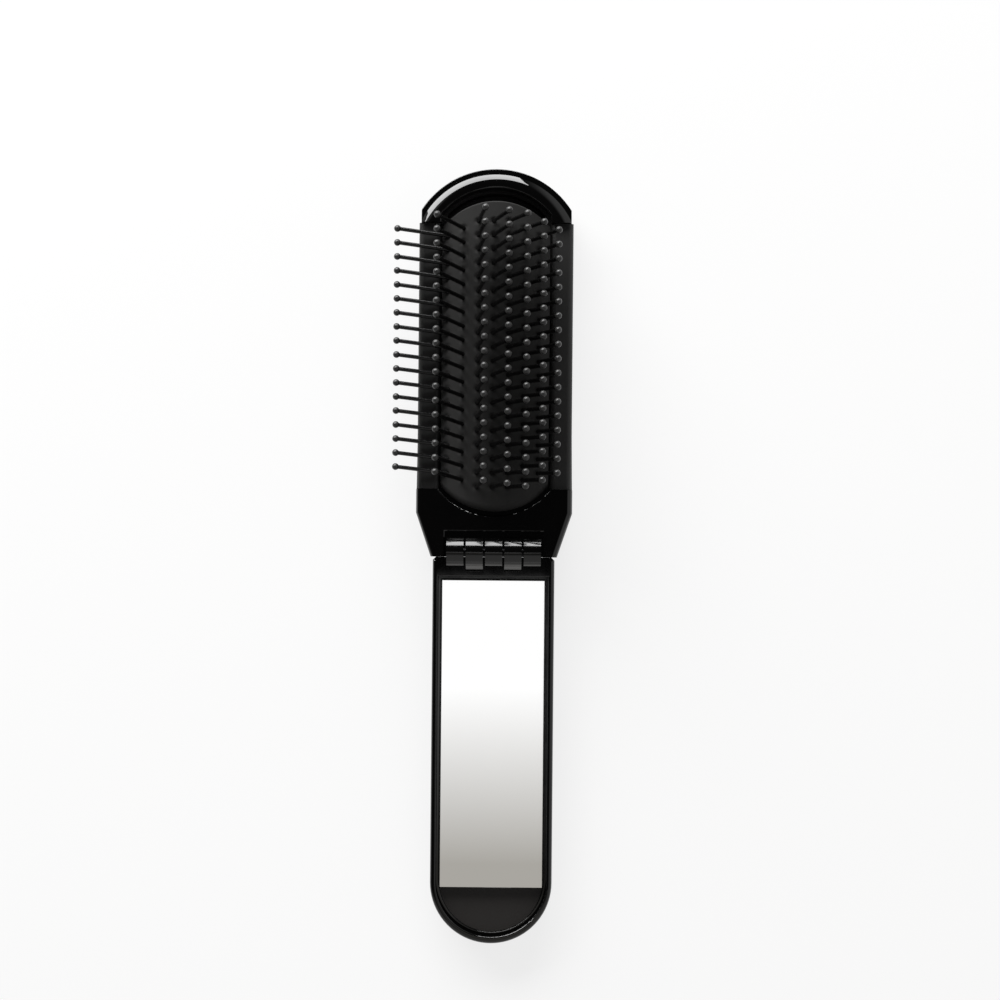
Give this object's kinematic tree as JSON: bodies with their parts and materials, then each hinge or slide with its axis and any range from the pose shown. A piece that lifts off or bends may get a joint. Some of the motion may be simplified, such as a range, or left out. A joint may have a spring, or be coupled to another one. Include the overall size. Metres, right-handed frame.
{
  "type": "folding travel hairbrush",
  "caption": "Folding travel hairbrush: ball-tipped pins in a crowned rubber cushion, hinged to a flat handle whose mirror side closes over the pins.",
  "frame": {"origin": "on the back of the head, in the middle plane, straight under the hinge axis", "axes": "+Y from the hinge to the tip of the head, +Z out of the side with the pins and the mirror, X across the brush along the hinge"},
  "size_m": [0.0447, 0.1929, 0.026],
  "materials": {
    "gloss_black_plastic": "polished moulded black",
    "matt_black_plastic": "fine matt moulded black",
    "cushion_rubber": "matt black rubber",
    "black_nylon": "satin black nylon with round tips",
    "pin_steel": "blackened steel wire",
    "matt_grey_plastic": "fine texture, dark grey",
    "adhesive_foam": "white double-sided foam tape",
    "mirror_silver": "silvered mirror with ground edges"
  },
  "bodies": {
    "head": {"head_shell": "gloss_black_plastic", "side_rail_left": "matt_black_plastic", "side_rail_right": "matt_black_plastic", "cushion_pad": "cushion_rubber", "hinge_pin": "pin_steel"},
    "handle": {"handle_tray": "gloss_black_plastic", "tray_liner": "matt_grey_plastic", "mirror_tape_upper": "adhesive_foam", "mirror_tape_lower": "adhesive_foam", "mirror_plate": "mirror_silver"},
    "bristle_row_1": {"pin_row_1": "black_nylon"},
    "bristle_row_2": {"pin_row_2": "black_nylon"},
    "bristle_row_3": {"pin_row_3": "black_nylon"},
    "bristle_row_4": {"pin_row_4": "black_nylon"},
    "bristle_row_5": {"pin_row_5": "black_nylon"},
    "bristle_row_6": {"pin_row_6": "black_nylon"},
    "bristle_row_7": {"pin_row_7": "black_nylon"}
  },
  "joints": [
    {"name": "handle_fold", "type": "hinge", "parent": "head", "child": "handle", "pos_m": [0, 0, 0.0135], "axis": [-1, 0, 0], "range_deg": [0, 180], "deforming": ["cushion_pad"]},
    {"name": "row_1_lean", "type": "hinge", "parent": "head", "child": "bristle_row_1", "pos_m": [-0.00898, 0.0489, 0.00921], "axis": [0, 1, 0], "range_deg": [-3, 0]},
    {"name": "row_2_lean", "type": "hinge", "parent": "head", "child": "bristle_row_2", "pos_m": [-0.00671, 0.0489, 0.0089], "axis": [0, 1, 0], "range_deg": [-35, 0]},
    {"name": "row_3_lean", "type": "hinge", "parent": "head", "child": "bristle_row_3", "pos_m": [-0.00483, 0.0489, 0.00955], "axis": [0, 1, 0], "range_deg": [0, 50]},
    {"name": "row_4_lean", "type": "hinge", "parent": "head", "child": "bristle_row_4", "pos_m": [-0.0015, 0.0489, 0.01004], "axis": [0, 1, 0], "range_deg": [0, 44]},
    {"name": "row_5_lean", "type": "hinge", "parent": "head", "child": "bristle_row_5", "pos_m": [0.00214, 0.0489, 0.00988], "axis": [0, 1, 0], "range_deg": [0, 41]},
    {"name": "row_6_lean", "type": "hinge", "parent": "head", "child": "bristle_row_6", "pos_m": [0.00589, 0.0489, 0.00908], "axis": [0, 1, 0], "range_deg": [0, 40]},
    {"name": "row_7_lean", "type": "hinge", "parent": "head", "child": "bristle_row_7", "pos_m": [0.00974, 0.0489, 0.00757], "axis": [0, 1, 0], "range_deg": [0, 20]}
  ],
  "couplings": [
    {"joint": "row_1_lean", "follows": "handle_fold", "ratio": -0.016666},
    {"joint": "row_2_lean", "follows": "handle_fold", "ratio": -0.19444},
    {"joint": "row_3_lean", "follows": "handle_fold", "ratio": 0.27778},
    {"joint": "row_4_lean", "follows": "handle_fold", "ratio": 0.24444},
    {"joint": "row_5_lean", "follows": "handle_fold", "ratio": 0.22778},
    {"joint": "row_6_lean", "follows": "handle_fold", "ratio": 0.22222},
    {"joint": "row_7_lean", "follows": "handle_fold", "ratio": 0.11111}
  ]
}
